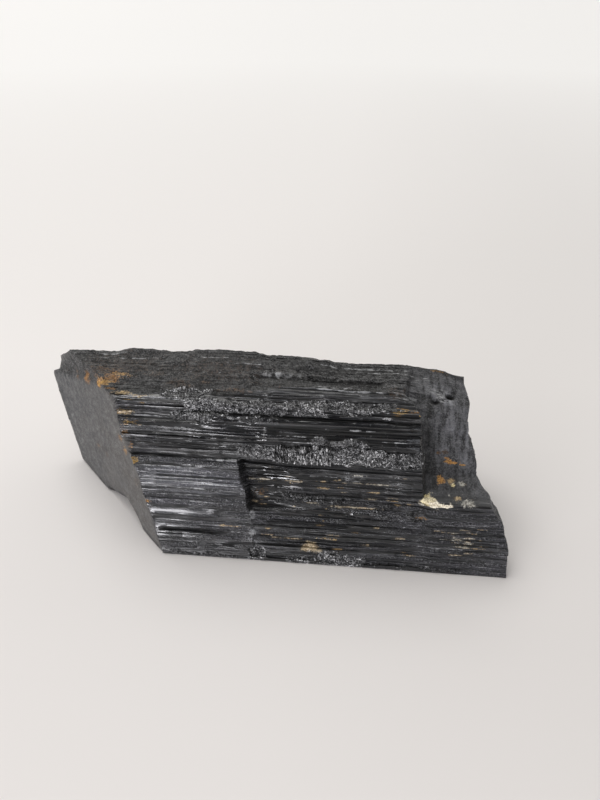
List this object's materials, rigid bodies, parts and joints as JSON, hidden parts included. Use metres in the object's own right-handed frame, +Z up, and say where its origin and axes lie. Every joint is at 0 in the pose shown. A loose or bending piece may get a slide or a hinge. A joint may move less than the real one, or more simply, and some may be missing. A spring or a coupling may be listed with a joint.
{
  "type": "black tourmaline crystal",
  "caption": "Broken log of black tourmaline: one long striated crystal with a slanting left end, a ragged right end and split layers, lying on a prism face.",
  "frame": {"origin": "centre of the crystal's box, on the surface that it lies on", "axes": "+X along the crystal's long axis, towards its ragged end; +Y into its depth, away from its sloping front; +Z up"},
  "size_m": [0.2036, 0.074, 0.0584],
  "materials": {
    "black_tourmaline": "striated, glassy to dull, with rusty and cream specks"
  },
  "bodies": {
    "root": {"tourmaline_crystal": "black_tourmaline"}
  },
  "joints": []
}
